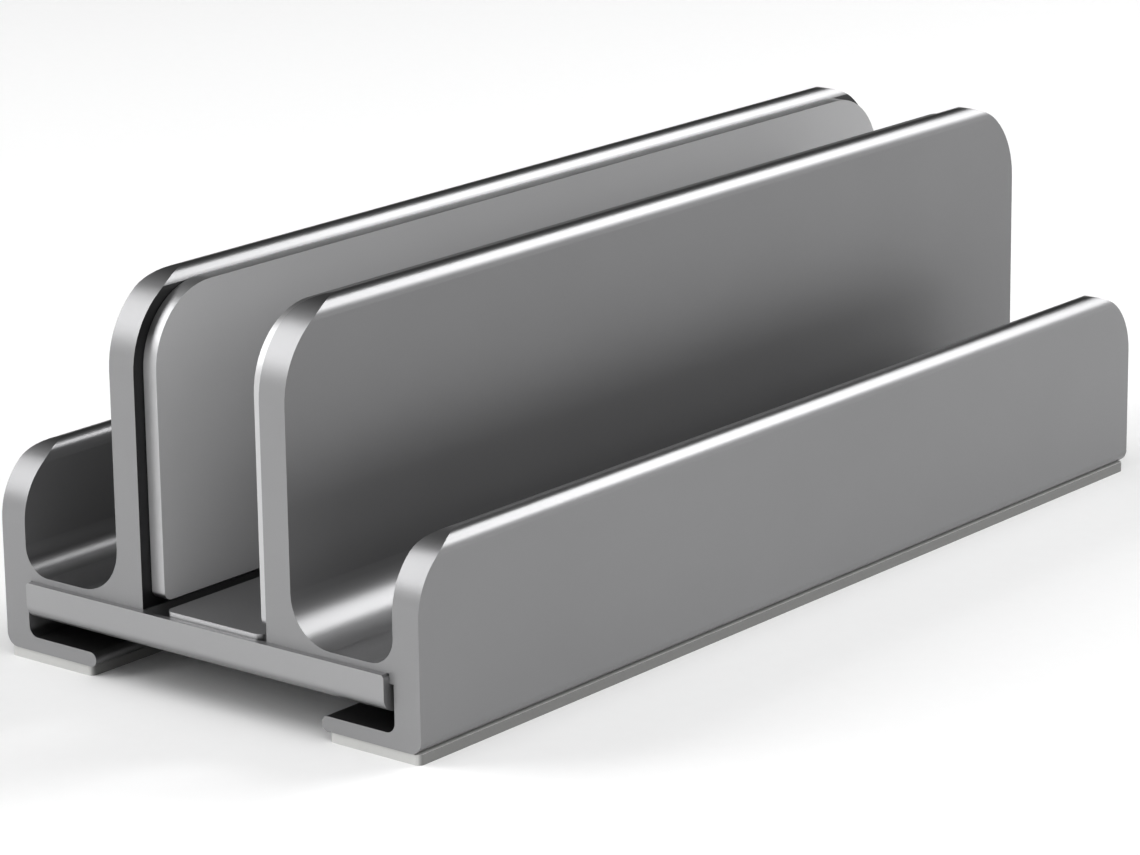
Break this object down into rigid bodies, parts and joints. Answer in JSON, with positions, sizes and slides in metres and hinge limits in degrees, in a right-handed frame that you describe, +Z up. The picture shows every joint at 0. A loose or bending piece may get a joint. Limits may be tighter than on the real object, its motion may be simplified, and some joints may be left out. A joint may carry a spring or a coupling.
{
  "type": "vertical tablet stand",
  "caption": "Free-standing extruded metal stand: sprung rocking jaws grip a tablet stood in the middle slot, with an open channel along each side.",
  "frame": {"origin": "under the middle of the stand, on the surface that its foot pads rest on", "axes": "+Z up; +Y along the walls, the picture showing the -Y end; +X across the slot"},
  "size_m": [0.09, 0.2026, 0.0676],
  "materials": {
    "bracket": "dark grey anodised, satin",
    "plate": "dark grey anodised, satin",
    "jaw": "dark grey anodised, satin",
    "pin": "ground",
    "spring": "tempered strip",
    "screw": "blackened",
    "pad": "matt pale grey silicone"
  },
  "bodies": {
    "stand": {"base_plate": "plate", "left_bracket": "bracket", "left_foot_pad": "pad", "left_hinge_pin_1": "pin", "left_hinge_pin_2": "pin", "left_hinge_pin_3": "pin", "left_return_spring_1": "spring", "left_return_spring_2": "spring", "left_bracket_screw_1": "screw", "left_bracket_screw_2": "screw", "left_bracket_screw_3": "screw", "right_bracket": "bracket", "right_foot_pad": "pad", "right_hinge_pin_1": "pin", "right_hinge_pin_2": "pin", "right_hinge_pin_3": "pin", "right_return_spring_1": "spring", "right_return_spring_2": "spring", "right_bracket_screw_1": "screw", "right_bracket_screw_2": "screw", "right_bracket_screw_3": "screw"},
    "left_rocker": {"left_jaw": "jaw"},
    "right_rocker": {"right_jaw": "jaw"}
  },
  "joints": [
    {"name": "left_jaw_hinge", "type": "hinge", "parent": "stand", "child": "left_rocker", "pos_m": [-0.0155, 0, 0.012], "axis": [0, 1, 0], "range_deg": [0, 7], "stiffness_Nm_per_rad": 0.3, "springref_deg": -1.72, "deforming": ["left_return_spring_1", "left_return_spring_2"]},
    {"name": "right_jaw_hinge", "type": "hinge", "parent": "stand", "child": "right_rocker", "pos_m": [0.0155, 0, 0.012], "axis": [0, -1, 0], "range_deg": [0, 7], "stiffness_Nm_per_rad": 0.3, "springref_deg": -1.72, "deforming": ["right_return_spring_1", "right_return_spring_2"]}
  ]
}
